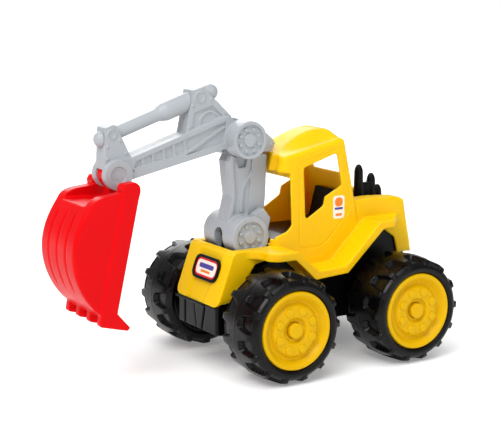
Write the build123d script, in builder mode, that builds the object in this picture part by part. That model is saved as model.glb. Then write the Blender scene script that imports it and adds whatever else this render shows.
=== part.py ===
"""Toy excavator truck: a yellow cab body on a black chassis, with four big wheels
and a three-part digging arm.  Millimetres, +X forward, +Y to the left, +Z up,
origin on the ground under the middle of the whole toy."""
import os
from math import atan2, degrees

from build123d import *

os.makedirs("parts", exist_ok=True)

# ---------------------------------------------------------------- driving dimensions
WHEELBASE = 141.0          # front axle to rear axle
AXLE_HEIGHT = 52.0         # axle above the ground, also the tyre's outer radius
FRONT_AXLE_X = 2.2         # front axle from the middle of the whole length
OVERALL_WIDTH = 215.0      # over the tyres' outer faces
CAB_HALF = 40.0            # cab, nose and rear hood, half width
VISOR_FRONT = -26.0        # foremost point of the cab's visor, from the front axle
FENDER_HALF = 68.0         # fenders, half width
SKIN = 2.6                 # wall of the yellow mouldings
BOOM_PIVOT = (0.5, 73.5)   # every outline below is (x, z) measured from the front axle
STICK_PIVOT = (0.5, 166.5)
BUCKET_PIVOT = (132.0, 142.0)
ARM_HALF = 10.0            # boom and stick, half thickness
RUNNING = 0.06             # radial clearance of a turning fit
SIDE_GAP = 0.4             # clearance beside a moving part
SIDES = (("left", 1), ("right", -1))


def at(point):
    """A point measured from the front axle, in the part's own frame."""
    return (point[0] + FRONT_AXLE_X, point[1] + AXLE_HEIGHT)


def outline(points):
    return [at(point) for point in points]


def upright(y):
    """The vertical lengthwise plane at distance y to the left; extruding goes to the right."""
    return Plane.XZ.offset(-y)


def cross(point, y=0.0):
    """A plane square to Y, centred on a point of the side view."""
    x, z = at(point)
    return Plane((x, y, z), x_dir=(1, 0, 0), z_dir=(0, -1, 0))


def save(builder, name):
    builder.part.label = name
    export_step(builder.part, f"parts/{name}.step")


def prism(points, y_low, y_high, mode=Mode.ADD):
    """A flat outline in the side view, made solid from y_low to y_high."""
    with BuildSketch(upright(y_high)) as side:
        Polygon(*outline(points), align=None)
    return extrude(side.sketch, amount=y_high - y_low, mode=mode)


def disc(point, radius, y_low, y_high, mode=Mode.ADD):
    """A round bar across the toy, centred on a point of the side view."""
    with BuildSketch(cross(point, y_high)) as face:
        Circle(radius)
    return extrude(face.sketch, amount=y_high - y_low, mode=mode)


# ---------------------------------------------------------------- wheels
TYRE_RADIUS = AXLE_HEIGHT
RIM_RADIUS = 37.0
TYRE_WIDTH = 55.0
TYRE_GROOVE = 5.0          # depth between the lugs
LUG_COUNT = 14
HUB_RADIUS = 7.5
AXLE_RADIUS = 3.0
NUT_RADIUS = 5.0           # push-on nut at each axle end
NUT_INSET = 7.6            # nut's inner face, from the wheel's face
NUT_THICKNESS = 1.3
AXLE_INSET = 5.4           # axle's end, from the wheel's face
CAP_INSET = 7.9            # hub cap's foot, from the wheel's face
CAP_HEIGHT = 6.4
LUG_LENGTH = 21.0          # length of the pockets between the lugs, from each shoulder
LUG_PITCH = 360.0 / LUG_COUNT
STUD_COUNT = 8
STUD_RADIUS = 3.5
STUD_CIRCLE = 18.7
WHEEL_FACE = OVERALL_WIDTH / 2

WHEELS = {
    "front_left": (0.0, 1),
    "front_right": (0.0, -1),
    "rear_left": (-WHEELBASE, 1),
    "rear_right": (-WHEELBASE, -1),
}


def wheel_plane(x, side):
    """Square to the axle, at the wheel's outer face, with its normal pointing outwards."""
    return Plane(
        (x + FRONT_AXLE_X, side * WHEEL_FACE, AXLE_HEIGHT), x_dir=(1, 0, 0), z_dir=(0, side, 0)
    )


def radial(x, side):
    """A half plane through the axle: local x is the radius, local y is outwards."""
    return Plane(
        (x + FRONT_AXLE_X, side * WHEEL_FACE, AXLE_HEIGHT),
        x_dir=(1, 0, 0), z_dir=(0, 0, side),
    )


for wheel_name, (wheel_x, side) in WHEELS.items():
    axle_line = Axis((wheel_x + FRONT_AXLE_X, 0, AXLE_HEIGHT), (0, 1, 0))

    with BuildPart() as tyre:
        with BuildSketch(radial(wheel_x, side)):
            with BuildLine():
                Polyline(
                    (RIM_RADIUS + 0.1, -1.0), (41.5, 0), (45.0, -1.2), (TYRE_RADIUS - 2.5, -4.0),
                    (TYRE_RADIUS - 0.8, -9.0), (TYRE_RADIUS, -TYRE_WIDTH / 2),
                    (TYRE_RADIUS - 0.8, 9.0 - TYRE_WIDTH), (TYRE_RADIUS - 2.5, 4.0 - TYRE_WIDTH),
                    (45.0, 1.2 - TYRE_WIDTH), (41.5, -TYRE_WIDTH), (RIM_RADIUS + 0.1, 1.0 - TYRE_WIDTH),
                    close=True,
                )
            make_face()
        revolve(axis=axle_line)
        # pockets between the lugs, open to both shoulders and half a pitch apart
        for depth, turn in ((0.0, 0.0), (TYRE_WIDTH - LUG_LENGTH, LUG_PITCH / 2)):
            with BuildSketch(wheel_plane(wheel_x, side).offset(-depth)) as pockets:
                with PolarLocations(TYRE_RADIUS - 0.5, LUG_COUNT, start_angle=turn):
                    RectangleRounded(2 * TYRE_GROOVE, 12.5, 2.0)
            extrude(amount=-LUG_LENGTH, mode=Mode.SUBTRACT)
    save(tyre, f"tyre_{wheel_name}")

    with BuildPart() as wheel:
        with BuildSketch(radial(wheel_x, side)):
            with BuildLine():
                Polyline(
                    (AXLE_RADIUS + RUNNING, -8.0), (HUB_RADIUS + 0.2, -8.0), (HUB_RADIUS + 0.2, -5.6),
                    (11.5, -5.6), (12.4, -2.2), (24.4, -2.2), (26.6, -6.5), (28.0, -6.5),
                    (32.0, -0.8), (33.5, 0), (35.5, 0), (RIM_RADIUS, -1.6),
                    (RIM_RADIUS, 1.6 - TYRE_WIDTH), (34.0, 1.6 - TYRE_WIDTH), (34.0, -10.5),
                    (HUB_RADIUS, -10.5), (HUB_RADIUS, 3.0 - TYRE_WIDTH),
                    (AXLE_RADIUS + RUNNING, 3.0 - TYRE_WIDTH),
                    close=True,
                )
            make_face()
        revolve(axis=axle_line)
        with BuildSketch(wheel_plane(wheel_x, side).offset(-2.3)):
            with PolarLocations(STUD_CIRCLE, STUD_COUNT, start_angle=180 / STUD_COUNT):
                Circle(STUD_RADIUS)
        extrude(amount=1.5)
        fillet(wheel.faces().sort_by(Axis.Y)[-1 if side > 0 else 0].edges(), 0.5)
    save(wheel, f"wheel_{wheel_name}")

    with BuildPart() as hub_cap:
        with BuildSketch(wheel_plane(wheel_x, side).offset(-CAP_INSET)):
            Circle(HUB_RADIUS)
        extrude(amount=CAP_HEIGHT)
        cap_face = hub_cap.faces().sort_by(Axis.Y)[-1 if side > 0 else 0]
        fillet(cap_face.edges(), 1.2)
        with BuildSketch(wheel_plane(wheel_x, side).offset(-CAP_INSET)):
            Circle(NUT_RADIUS + 0.6)
        extrude(amount=3.0, mode=Mode.SUBTRACT)
    save(hub_cap, f"hub_cap_{wheel_name}")


# ---------------------------------------------------------------- axles and their push-on nuts
for end_name, axle_x in (("front", 0.0), ("rear", -WHEELBASE)):
    with BuildPart() as axle:
        disc((axle_x, 0), AXLE_RADIUS, AXLE_INSET - WHEEL_FACE, WHEEL_FACE - AXLE_INSET)
        fillet(axle.edges().filter_by(GeomType.CIRCLE), 0.6)
    save(axle, f"{end_name}_axle")

with BuildPart() as axle_nuts:
    for nut_x, side in WHEELS.values():
        with BuildSketch(wheel_plane(nut_x, side).offset(-NUT_INSET)) as nut:
            Circle(NUT_RADIUS)
            Circle(AXLE_RADIUS, mode=Mode.SUBTRACT)
        extrude(nut.sketch, amount=NUT_THICKNESS)
save(axle_nuts, "axle_nuts")

# ---------------------------------------------------------------- chassis
CHASSIS_HALF = 37.0
KEEL = -15.0
TRAY_WALL = 3.0
LUG_HALF = 7.1
PIN_RADIUS = 5.0
PIN_HALF = 20.0            # boom and stick pins, half length
BOSS_RADIUS = 9.0
BOSS_END = WHEEL_FACE - TYRE_WIDTH + 3.0 - SIDE_GAP
GRILLE_FACE = 44.0
SLOT_DEPTH = 3.4
SLOT_HALF = 1.1
# each slot in the grille: how far left it is at its top and at its foot, and its depth
GRILLE_SLOTS = ((-23.0, -23.0, SLOT_DEPTH), (14.6, 8.1, SLOT_DEPTH), (-5.9, -0.9, 0.8))

with BuildPart() as chassis:
    prism(
        [(GRILLE_FACE, KEEL), (GRILLE_FACE, 11.8), (28, 11.8), (28, 46), (-8, 46), (-26, 55.5),
         (-120, 55.5), (-132, 70), (-168, 70), (-177, 40), (-175, -4), (-166, KEEL)],
        -CHASSIS_HALF, CHASSIS_HALF,
    )
    prism(
        [(38, KEEL + 3), (38, 60), (-130, 80), (-161.5, 80), (-173.5, 38), (-172, 0), (-164, KEEL + 3)],
        TRAY_WALL - CHASSIS_HALF, CHASSIS_HALF - TRAY_WALL, mode=Mode.SUBTRACT,
    )
    fillet(chassis.edges().filter_by(Axis.Z).group_by(Axis.X)[-1], 3.0)
    # lip over the grille, and the grille's slots
    prism([(40, 9.2), (46.4, 9.2), (46.4, 11.8), (40, 11.8)], 1.0 - CAB_HALF, 14.0)
    for slot_top, slot_foot, slot_depth in GRILLE_SLOTS:
        with BuildSketch(Plane.YZ.offset(FRONT_AXLE_X + GRILLE_FACE + 1)) as slot:
            Polygon(
                (slot_top - SLOT_HALF, AXLE_HEIGHT + 9), (slot_top + SLOT_HALF, AXLE_HEIGHT + 9),
                (slot_foot + SLOT_HALF, AXLE_HEIGHT + KEEL - 1),
                (slot_foot - SLOT_HALF, AXLE_HEIGHT + KEEL - 1), align=None,
            )
        extrude(slot.sketch, amount=-slot_depth - 1, mode=Mode.SUBTRACT)
    # the mount for the boom: a plate standing on the tray's floor
    prism([(-24, KEEL + 2), (-11, 72), (11, 74), (26, KEEL + 2)], -LUG_HALF, LUG_HALF)
    disc(BOOM_PIVOT, 13.0, -LUG_HALF, LUG_HALF)
    disc(BOOM_PIVOT, PIN_RADIUS + RUNNING, -LUG_HALF - 1, LUG_HALF + 1, mode=Mode.SUBTRACT)
    # axle tubes with an end boss beside each wheel
    for axle_x in (0.0, -WHEELBASE):
        disc((axle_x, 0), BOSS_RADIUS, -BOSS_END, BOSS_END)
        disc((axle_x, 0), AXLE_RADIUS + 0.05, -BOSS_END - 1, BOSS_END + 1, mode=Mode.SUBTRACT)
    # underside: stiffening panel recess and screw holes
    with BuildSketch(Plane.XY.offset(AXLE_HEIGHT + KEEL)) as belly:
        with Locations((FRONT_AXLE_X - 70, 0)):
            RectangleRounded(64, 52, 6)
    extrude(belly.sketch, amount=1.2, mode=Mode.SUBTRACT)
save(chassis, "chassis")

# ---------------------------------------------------------------- screws up through the chassis
CHASSIS_SCREW_X = (20.0, -30.0, -112.0, -158.0)
CHASSIS_SCREW_Y = 28.0
SCREW_HEAD_RADIUS = 2.8
SCREW_HEAD_HEIGHT = 1.2
CROSS_LENGTH = 3.4         # recess for the screwdriver
CROSS_WIDTH = 0.7

with BuildPart() as chassis_screws:
    for screw_x in CHASSIS_SCREW_X:
        pair = [(FRONT_AXLE_X + screw_x, side * CHASSIS_SCREW_Y) for _, side in SIDES]
        with BuildSketch(Plane.XY.offset(AXLE_HEIGHT + KEEL)) as head:
            with Locations(*pair):
                Circle(SCREW_HEAD_RADIUS)
        extrude(head.sketch, amount=-SCREW_HEAD_HEIGHT)
        with BuildSketch(Plane.XY.offset(AXLE_HEIGHT + KEEL - SCREW_HEAD_HEIGHT + 0.1)) as recess:
            with Locations(*pair):
                Rectangle(CROSS_LENGTH, CROSS_WIDTH)
                Rectangle(CROSS_WIDTH, CROSS_LENGTH)
        extrude(recess.sketch, amount=0.7, mode=Mode.SUBTRACT)
save(chassis_screws, "chassis_screws")

# ---------------------------------------------------------------- yellow body: nose, fenders and rear hood
DECK = 64.0
INNER_HALF = CAB_HALF - SKIN
WELL_HALF = 29.5           # opening in the deck for the boom's foot
FENDER_SIDE = [
    (2, DECK), (-26.8, DECK), (-52.2, 42.5), (-82.6, 44), (-123, 82.8), (-155, 84), (-163, 84),
    (-163, 76.5), (-127.6, 75.8), (-85.4, 36.9), (-47.7, 34.6), (-24.6, 56), (2, 56),
]

with BuildPart() as body_shell:
    # nose, hollow from below
    prism(
        [(45.5, 12.2), (28, 60.5), (24, DECK), (-19, DECK), (-19, 55), (3, 50), (30, 13.2)],
        -CAB_HALF, CAB_HALF,
    )
    fillet(body_shell.faces().sort_by(Axis.X)[-1].edges().filter_by(Plane.XZ), 8.0)
    # rear hood
    prism(
        [(-113.3, 101.6), (-165.5, 98.4), (-172.5, 96), (-183.7, 43.1), (-164.5, 42.7), (-160, 59.6),
         (-149.3, 68.9), (-127.6, 75.8), (-117.5, 70), (-117.5, 81.2)],
        -CAB_HALF, CAB_HALF,
    )
    fillet(body_shell.edges().filter_by_position(Axis.X, -186, -166).filter_by(Plane.XZ), 6.0)
    for _, side in SIDES:
        y_low, y_high = sorted((side * INNER_HALF, side * FENDER_HALF))
        prism(FENDER_SIDE, y_low, y_high)
    corners = body_shell.edges().filter_by(Axis.Z).filter_by_position(Axis.Z, 107, 117)
    fillet(corners.group_by(Axis.X)[-1], 13.0)
    for _, side in SIDES:
        with BuildSketch(Plane.XY.offset(AXLE_HEIGHT + 70)) as rear_corner:
            Polygon(
                (FRONT_AXLE_X - 140, side * 68), (FRONT_AXLE_X - 157, side * 49),
                (FRONT_AXLE_X - 163, side * 40.2), (FRONT_AXLE_X - 170, side * 75), align=None,
            )
        extrude(rear_corner.sketch, amount=20, mode=Mode.SUBTRACT)
    # hollows
    prism(
        [(41.6, 9), (25.4, 57.3), (22.6, 61.4), (-30, 61.4), (-30, 30), (27, 9)],
        -INNER_HALF, INNER_HALF, mode=Mode.SUBTRACT,
    )
    prism(
        [(-110, 98.6), (-164.5, 95.6), (-170.3, 93.6), (-181.6, 40), (-158, 40), (-152, 60),
         (-110, 70)],
        -INNER_HALF, INNER_HALF, mode=Mode.SUBTRACT,
    )
    # well for the boom's foot, and the opening over the engine
    prism(
        [(-21.2, 50), (-21.2, 70), (22.4, 70), (22.4, 50)], -WELL_HALF, WELL_HALF, mode=Mode.SUBTRACT,
    )
    prism([(-110, 88), (-110, 110), (-175, 110), (-175, 88)], -22, 22, mode=Mode.SUBTRACT)
save(body_shell, "body_shell")

# ---------------------------------------------------------------- cab: side walls, roof and visor
VISOR_CORNER = 9.0         # rounding of the visor's corners, seen from above
FLUTE_RADIUS = 6.0         # upright groove beside the boom's recess
FLUTE_Y = 23.5
FLUTE_FOOT = 125.0
FLUTE_LENGTH = 22.0
RECESS_HALF = 14.0         # recess in the visor that the boom stands in
DOOR_WINDOW = [
    (-51.3, 137.9), (-90.3, 149.8), (-96.5, 117.4), (-76.8, 107.9), (-75, 99.1), (-53.8, 86.6),
]
DOOR_SEAM = [
    (-46.6, 143.7), (-95.7, 155.5), (-108.5, 94.7), (-74.7, 60.1), (-47.6, 60.1),
]

with BuildPart() as cab:
    with BuildSketch(upright(CAB_HALF)) as cab_side:
        Polygon(
            *outline([(-19, DECK), (-19.5, 73.4), (-23, 100), (-26, 134), (-29.5, 149.6), (-99.4, 164.6),
                      (-113.3, 101.6), (-117.5, 81.2), (-117.5, 77.6), (-82.6, 44), (-52.2, 42.5),
                      (-26.8, DECK)]),
            align=None,
        )
        roof_corners = cab_side.vertices().group_by(Axis.Y)
        fillet(roof_corners[-1] + roof_corners[-2], 5.0)
    extrude(cab_side.sketch, amount=2 * CAB_HALF)
    roof_edges = cab.edges().filter_by_position(Axis.Z, AXLE_HEIGHT + 101, AXLE_HEIGHT + 170)
    fillet(roof_edges.filter_by(lambda edge: abs(abs(edge.center().Y) - CAB_HALF) < 0.1), 4.5)
    # raised roof panel
    with BuildSketch(upright(33)) as panel:
        Polygon(
            *outline([(-42, 150), (-60, 160.5), (-90, 171.5), (-97.5, 163), (-97, 158)]), align=None,
        )
        fillet(panel.vertices().group_by(Axis.Y)[-1], 4.0)
    extrude(panel.sketch, amount=66)
    # open front: the pillars stand back from the visor and the cowl
    with BuildSketch(upright(50)) as front_opening:
        with BuildLine():
            Polyline(*outline([(-10, 73.4), (-10, 134), (-35, 134.2), (-36.5, 132.5), (-38.6, 84)]))
            ThreePointArc(at((-38.6, 84)), at((-34, 78.6)), at((-28.9, 76.3)))
            Polyline(*outline([(-28.9, 76.3), (-19, 73.4), (-10, 73.4)]))
        make_face()
    extrude(front_opening.sketch, amount=100, mode=Mode.SUBTRACT)
    # inside
    prism(
        [(-22, 36), (-22, 71), (-15, 71), (-15, 128), (-37.2, 128), (-37.2, 148.4), (-97, 161.2),
         (-110.4, 101.6), (-114.6, 81.2), (-114.6, 36)],
        -INNER_HALF, INNER_HALF, mode=Mode.SUBTRACT,
    )
    prism(
        [(-22.6, 66), (-22.6, 75), (-15, 75), (-15, 66)], -WELL_HALF, WELL_HALF, mode=Mode.SUBTRACT,
    )
    # recess that the boom stands in
    prism(
        [(-33, 125), (-33, 165), (-20, 165), (-20, 125)], -RECESS_HALF, RECESS_HALF, mode=Mode.SUBTRACT,
    )
    # the visor's rounded corners, and a flute on each side of the recess
    visor_x = FRONT_AXLE_X + VISOR_FRONT
    for _, side in SIDES:
        with BuildSketch(Plane.XY.offset(AXLE_HEIGHT + 130)) as corner:
            with Locations((visor_x, side * CAB_HALF)):
                Rectangle(2 * VISOR_CORNER, 2 * VISOR_CORNER)
            with Locations((visor_x - VISOR_CORNER, side * (CAB_HALF - VISOR_CORNER))):
                Circle(VISOR_CORNER, mode=Mode.SUBTRACT)
        extrude(corner.sketch, amount=30, mode=Mode.SUBTRACT)
        with BuildSketch(Plane.XY.offset(AXLE_HEIGHT + FLUTE_FOOT)) as flute:
            with Locations((visor_x, side * FLUTE_Y)):
                Circle(FLUTE_RADIUS)
        extrude(flute.sketch, amount=FLUTE_LENGTH, mode=Mode.SUBTRACT)
        with Locations((visor_x, side * FLUTE_Y, AXLE_HEIGHT + FLUTE_FOOT + FLUTE_LENGTH)):
            Sphere(FLUTE_RADIUS, mode=Mode.SUBTRACT)
    # windows
    for _, side in SIDES:
        with BuildSketch(upright(side * CAB_HALF + 5)) as window:
            Polygon(*outline(DOOR_WINDOW), align=None)
            fillet(window.vertices(), 3.0)
        extrude(window.sketch, amount=10, mode=Mode.SUBTRACT)
        with BuildSketch(upright(side * CAB_HALF + (0.0 if side > 0 else 0.4))) as seam:
            Polygon(*outline(DOOR_SEAM), align=None)
            fillet(seam.vertices(), 3.0)
            offset(amount=-0.6, mode=Mode.SUBTRACT)
        extrude(seam.sketch, amount=0.4, mode=Mode.SUBTRACT)
    with BuildSketch(Plane.YZ.offset(FRONT_AXLE_X - 125)) as rear_window:
        with Locations((0, AXLE_HEIGHT + 140)):
            RectangleRounded(50, 25, 4)
    extrude(rear_window.sketch, amount=40, mode=Mode.SUBTRACT)
save(cab, "cab")

# ---------------------------------------------------------------- seat and engine
CAB_FLOOR_HALF = INNER_HALF - SIDE_GAP
SEAT_HALF = 17.0

with BuildPart() as seat:
    prism(
        [(-24, 66), (-24, 69), (-40, 72), (-110, 72), (-110, 68), (-40, 68)], -CAB_FLOOR_HALF, CAB_FLOOR_HALF,
    )
    prism(
        [(-78, 70), (-80, 82), (-96, 80), (-103.5, 109.5), (-107.6, 109.5), (-110, 100), (-110, 70)],
        -SEAT_HALF, SEAT_HALF,
    )
    seat_edges = seat.edges().filter_by_position(Axis.Z, AXLE_HEIGHT + 78, AXLE_HEIGHT + 110)
    fillet(seat_edges.filter_by(Axis.Y), 1.5)
save(seat, "seat")

STACK_RADIUS = 5.2
STACK_FOOT = 88.6
# place and height of each round-topped stack
STACKS = ((-145.6, 129.6), (-161.3, 119.8), (-169.6, 107.4))
ENGINE_HALF = 20.0
WEB_HALF = 3.5             # plate between the first two stacks

with BuildPart() as engine_block:
    prism([(-119, 72), (-119, 96), (-169.5, 92.5), (-169.5, 72)], -ENGINE_HALF, ENGINE_HALF)
    prism([(-146, 90), (-146, 110.5), (-161, 110.5), (-161, 90)], -WEB_HALF, WEB_HALF)
    for stack_x, stack_top in STACKS:
        with BuildSketch(cross((stack_x, 0))) as stack:
            with BuildLine():
                Line((0, STACK_FOOT), (STACK_RADIUS, STACK_FOOT))
                Line((STACK_RADIUS, STACK_FOOT), (STACK_RADIUS - 0.6, stack_top - 9))
                Spline(
                    (STACK_RADIUS - 0.6, stack_top - 9), (STACK_RADIUS - 2.0, stack_top - 2.6),
                    (0, stack_top), tangents=[(0, 1), (-1, 0)],
                )
                Line((0, stack_top), (0, STACK_FOOT))
            make_face()
        revolve(stack.sketch, axis=Axis((stack_x + FRONT_AXLE_X, 0, AXLE_HEIGHT), (0, 0, 1)))
save(engine_block, "engine_block")

# ---------------------------------------------------------------- badge and door labels
BADGE_WIDTH, BADGE_HEIGHT, BADGE_CORNER = 45.5, 23.5, 9.0
BADGE_CENTRE = (3.3, 7.0)  # left, and up the nose, from the middle of its front
DOOR_LABEL_CENTRE = (-92.5, 96.5)
DOOR_LABEL_WIDTH, DOOR_LABEL_HEIGHT, DOOR_LABEL_CORNER = 13.4, 22.5, 3.0
nose_lean = Plane(
    (36.75 + FRONT_AXLE_X, 0, 36.35 + AXLE_HEIGHT), x_dir=(0, 1, 0), z_dir=(48.3, 0, 17.5),
)
with BuildPart() as badge_plate:
    with BuildSketch(nose_lean):
        with Locations(BADGE_CENTRE):
            RectangleRounded(BADGE_WIDTH, BADGE_HEIGHT, BADGE_CORNER)
    extrude(amount=1.0)
save(badge_plate, "badge_plate")

for side_name, side in SIDES:
    with BuildPart() as door_label:
        label_x, label_z = at(DOOR_LABEL_CENTRE)
        with BuildSketch(Plane((label_x, side * CAB_HALF, label_z), x_dir=(0, 0, 1), z_dir=(0, side, 0))):
            RectangleRounded(DOOR_LABEL_HEIGHT, DOOR_LABEL_WIDTH, DOOR_LABEL_CORNER)
        extrude(amount=0.3)
    save(door_label, f"door_label_{side_name}")

# ---------------------------------------------------------------- boom, in two halves
LUG_SLOT = 7.5             # half width between the boom's feet
KNUCKLE_HALF = 28.0        # foot, half width
FOOT_RADIUS = 20.0
FACE_DEPTH = 2.5
BOLT_COUNT = 8
EYE_RADIUS = 13.0
EYE_HALF = 7.6
STICK_SLOT = 8.0
STICK_DRUM_RADIUS = 18.0
STICK_DRUM_HALF = 27.0
BOOM_SIDE = [
    (13.7, 145), (12, 127.6), (9.8, 111), (14.3, 92.1), (16, 84), (-19, 80), (-25.6, 97.1),
    (-26.7, 109.8), (-27.4, 126.3), (-28.2, 143.8), (-28.2, 149.4), (-16, 149.4), (-10, 158), (9, 158),
    (10.5, 151),
]


def half_prism(points, side, low, high, mode=Mode.ADD):
    """A side outline made solid between two distances from the mid plane, on one side of it."""
    y_low, y_high = sorted((side * low, side * high))
    return prism(points, y_low, y_high, mode)


def half_disc(point, radius, side, low, high, mode=Mode.ADD):
    y_low, y_high = sorted((side * low, side * high))
    return disc(point, radius, y_low, y_high, mode)


def half_bars(lines, width, side, low, high):
    """Straight ribs with round ends in the side view, each from one point to another."""
    y_low, y_high = sorted((side * low, side * high))
    with BuildSketch(upright(y_high)) as bars:
        for start, end in lines:
            start, end = Vector(*at(start)), Vector(*at(end))
            tilt = degrees(atan2(end.Y - start.Y, end.X - start.X))
            with Locations((start + end) / 2):
                SlotCenterToCenter((end - start).length, width, rotation=tilt)
    extrude(bars.sketch, amount=y_high - y_low)


def half_hose(points, width, side, low, high):
    """A hose moulded on the web: a raised ribbon along a smooth line in the side view."""
    y_low, y_high = sorted((side * low, side * high))
    with BuildSketch(upright(y_high)) as hose:
        with BuildLine():
            Spline(*outline(points))
        trace(line_width=width)
    extrude(hose.sketch, amount=y_high - y_low)


def half_rivets(centres, radius, side, low, high):
    """Round rivet heads standing up from a side face."""
    y_low, y_high = sorted((side * low, side * high))
    with BuildSketch(upright(y_high)) as rivets:
        with Locations(*outline(centres)):
            Circle(radius)
    extrude(rivets.sketch, amount=y_high - y_low)


def bolt_face(pivot, recess_radius, bolt_circle, side, face):
    """A round recess in a knuckle's face, with a ring of bolt heads and a centre boss."""
    half_disc(pivot, recess_radius, side, face - FACE_DEPTH, face + 1, mode=Mode.SUBTRACT)
    y_low, y_high = sorted((side * (face - FACE_DEPTH - 1), side * (face - 0.7)))
    with BuildSketch(cross(pivot, y_high)) as bolts:
        Circle(6.2)
        with PolarLocations(bolt_circle, BOLT_COUNT, start_angle=22.5):
            Circle(1.9)
    extrude(bolts.sketch, amount=y_high - y_low)


RAM_REAR = (29.5, 211.2)   # axis of the ram, between the centres of its domed ends
RAM_FRONT = (142.3, 173.8)
ROD_RADIUS = 6.0
BARREL_RADIUS = 8.7
BARREL_START = 16.0        # along the ram from its rear end
BARREL_END = 51.0
COLLAR_END = 58.0
KNOB_RADIUS = 7.6          # domed ends
KNOB_LENGTH = 12.0
ram_vector = Vector(*at(RAM_FRONT)) - Vector(*at(RAM_REAR))
ram_length = ram_vector.length
ram_plane = Plane(
    (*at(RAM_REAR)[:1], 0, at(RAM_REAR)[1]), x_dir=(0, 1, 0), z_dir=(ram_vector.X, 0, ram_vector.Y),
)
BOOM_SCREWS = ((-19.5, 102), (-19.5, 140))
BOOM_HOSE = [(-12.7, 143.5), (-11.6, 133.2), (-4.8, 123), (-0.9, 111.7), (-0.4, 95.5)]

for side_name, side in SIDES:
    with BuildPart() as boom_half:
        half_prism(BOOM_SIDE, side, 0, ARM_HALF)
        # recessed web between the front flange and the round rear column
        half_prism(
            [(8.7, 139), (6.5, 112.7), (9.6, 93.6), (-6.5, 93.6), (-8.7, 111.3), (-10.2, 126), (-12, 147),
             (8.4, 147)],
            side, ARM_HALF - 2, ARM_HALF + 1, mode=Mode.SUBTRACT,
        )
        half_prism(
            [(6.4, 148), (1.9, 137.6), (-5.9, 138.4), (-8.1, 148)], side, 4, ARM_HALF, mode=Mode.SUBTRACT,
        )
        half_hose(BOOM_HOSE, 3.2, side, ARM_HALF - 2.5, ARM_HALF - 0.4)
        # the eye that the stick turns on
        half_disc(
            STICK_PIVOT, STICK_DRUM_RADIUS + 0.6, side, EYE_HALF, ARM_HALF + 1, mode=Mode.SUBTRACT,
        )
        half_disc(STICK_PIVOT, EYE_RADIUS, side, 0, EYE_HALF)
        half_disc(STICK_PIVOT, PIN_RADIUS + RUNNING, side, -1, EYE_HALF + 1, mode=Mode.SUBTRACT)
        # foot with its bolt ring, and the stop behind it
        half_prism(
            [(-6, 88), (-7.5, 94.3), (-17.6, 99.2), (-25.1, 89.7), (-22.3, 76.8), (-12, 78)], side, 13, 22,
        )
        half_disc(BOOM_PIVOT, FOOT_RADIUS, side, 0, KNUCKLE_HALF)
        half_disc(BOOM_PIVOT, PIN_RADIUS, side, -1, PIN_HALF, mode=Mode.SUBTRACT)
        bolt_face(BOOM_PIVOT, 15.0, 11.0, side, KNUCKLE_HALF)
        # slot for the chassis mount, open below and arched in front
        half_disc(BOOM_PIVOT, EYE_RADIUS + 0.8, side, -1, LUG_SLOT, mode=Mode.SUBTRACT)
        half_prism([(-15.5, 74), (-21, 48), (24, 48), (24, 74)], side, -1, LUG_SLOT, mode=Mode.SUBTRACT)
        with BuildSketch(Plane.YZ.offset(FRONT_AXLE_X + 5)) as arch:
            with Locations((0, at(BOOM_PIVOT)[1])):
                Circle(LUG_SLOT)
        extrude(arch.sketch, amount=20, mode=Mode.SUBTRACT)
    save(boom_half, f"boom_{side_name}")

with BuildPart() as boom_screws:
    half_rivets(BOOM_SCREWS, 2.6, -1, ARM_HALF, ARM_HALF + 1.2)
save(boom_screws, "boom_screws")

with BuildPart() as boom_pin:
    disc(BOOM_PIVOT, PIN_RADIUS, -PIN_HALF, PIN_HALF)
save(boom_pin, "boom_pin")

# ---------------------------------------------------------------- stick, in two halves, with its ram
LUG_RADIUS = 12.5          # bucket's lug
NOSE_SLOT = 6.6
NOSE_RADIUS = 14.0
NOSE_HALF = 13.9
BUCKET_PIN_RADIUS = 4.0
BRACKET_HALF = 9.0
STICK_SIDE = [
    (6.6, 184), (15.4, 188.8), (45.8, 179.8), (59.6, 175), (98.4, 162.6), (118.9, 156.2), (132, 156.2),
    (146, 142), (132, 129), (116.7, 136.5), (67.2, 147.1), (17.9, 157.3), (4, 160),
]
STICK_WEB = [
    (16.5, 183.8), (62.9, 168.9), (84.9, 162), (112, 153.2), (116, 143.2), (88.2, 148.8), (58.7, 155),
    (20, 163),
]
STICK_RIBS = [
    ((106.2, 155.5), (104.2, 147.5)), ((95.3, 158.8), (93.9, 149.9)), ((84.4, 162.7), (82.9, 151.9)),
    ((73.9, 166.1), (71.9, 154.3)), ((62.3, 169.5), (60.3, 157.7)),
]
LOW_HOSE = [(114.5, 145.2), (87.7, 150.6), (56, 158.6), (45.2, 164.2), (29, 173.5), (18, 179)]
TOP_HOSE = [(45.2, 181.5), (39.8, 192), (33.3, 194.2), (29, 192.6), (22, 187.6)]
REAR_BRACKET = [(60.7, 173), (56.3, 193.9), (52.5, 214.5), (41.3, 217.2), (11, 188.4), (11, 184), (40, 176)]
FRONT_BRACKET = [(144.5, 144), (142.4, 184.8), (134.5, 187.5), (131.5, 186.8), (117, 157), (117, 150)]
REAR_RIVETS = [(52.6, 200.2), (56.4, 180.4), (32.8, 205.6), (17.6, 192.7)]
FRONT_RIVETS = [(140.6, 167.8), (141.2, 156.8), (127.7, 173), (121.9, 161)]
# raised rings on the brackets: centre, outer radius and inner radius
BRACKET_EYES = (((44.7, 207.8), 5.6, 4.2), ((136.2, 179), 4.6, 3.4))
STICK_SCREWS = ((24, 184.6), (60, 151.6), (110, 141.3), (110, 156))

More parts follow.
